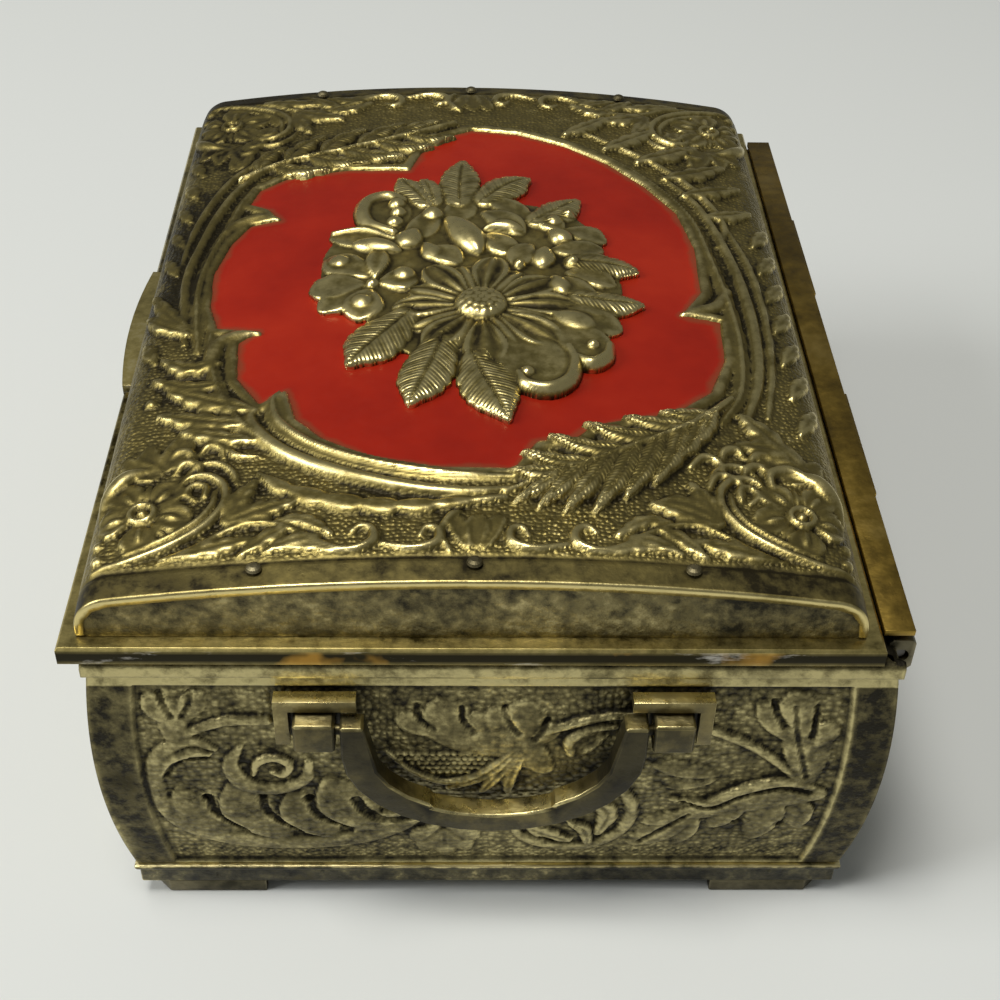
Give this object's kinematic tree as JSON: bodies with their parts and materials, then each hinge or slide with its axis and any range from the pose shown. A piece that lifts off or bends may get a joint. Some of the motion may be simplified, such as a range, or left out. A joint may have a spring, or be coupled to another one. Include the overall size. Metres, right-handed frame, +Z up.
{
  "type": "footed trinket box",
  "caption": "Small footed metal keepsake casket with bowed walls, a hinged domed lid with a red enamel field and raised flowers, and a drop handle at each end.",
  "frame": {"origin": "middle of the bounding box in X and Y, at the underside of the feet", "axes": "+Z up; +Y along the box's long side, the pictured short end faces -Y; +X towards the hinge, the thumb lift faces -X"},
  "size_m": [0.0952, 0.126, 0.0589],
  "materials": {
    "grey_brass_cast": "worn greyish gilt casting, stippled ground with raised scrollwork",
    "dark_brass": "dark tarnished cast brass",
    "gilt_brass": "rubbed gilt brass, bright at the edges",
    "relief_brass": "embossed brass, olive brown tarnish in the hollows",
    "bouquet_brass": "raised flowers, rubbed bright on top",
    "red_enamel": "red cold enamel, satin, slightly mottled and rubbed at the edges",
    "steel_pin": "dull steel wire",
    "red_velvet": "dark red velvet over card"
  },
  "bodies": {
    "box_body": {"front_wall": "grey_brass_cast", "back_wall": "grey_brass_cast", "right_end_wall": "grey_brass_cast", "left_end_wall": "grey_brass_cast", "base_plate": "dark_brass", "plinth_moulding": "gilt_brass", "foot_front_right": "dark_brass", "foot_front_left": "dark_brass", "foot_back_right": "dark_brass", "foot_back_left": "dark_brass", "hinge_rail": "dark_brass", "hinge_pin": "steel_pin", "right_handle_front_post": "dark_brass", "right_handle_back_post": "dark_brass", "left_handle_front_post": "dark_brass", "left_handle_back_post": "dark_brass", "front_lining": "red_velvet", "back_lining": "red_velvet", "right_end_lining": "red_velvet", "left_end_lining": "red_velvet", "floor_pad": "red_velvet"},
    "lid": {"lid_frame": "gilt_brass", "lid_top": "relief_brass", "enamel_field": "red_enamel", "bouquet_relief": "bouquet_brass", "hinge_leaf": "gilt_brass", "lid_lining": "red_velvet", "lid_rivet_1": "gilt_brass", "lid_rivet_2": "gilt_brass", "lid_rivet_3": "gilt_brass", "lid_rivet_4": "gilt_brass", "lid_rivet_5": "gilt_brass", "lid_rivet_6": "gilt_brass"},
    "right_handle": {"right_handle_bail": "gilt_brass"},
    "left_handle": {"left_handle_bail": "gilt_brass"}
  },
  "joints": [
    {"name": "lid_hinge", "type": "hinge", "parent": "box_body", "child": "lid", "pos_m": [0.04615, 0, 0.0421], "axis": [0, 1, 0], "range_deg": [0, 102]},
    {"name": "right_handle_swing", "type": "hinge", "parent": "box_body", "child": "right_handle", "pos_m": [0.00085, -0.06165, 0.0357], "axis": [-1, 0, 0], "range_deg": [0, 140]},
    {"name": "left_handle_swing", "type": "hinge", "parent": "box_body", "child": "left_handle", "pos_m": [0.00085, 0.06165, 0.0357], "axis": [1, 0, 0], "range_deg": [0, 140]}
  ]
}
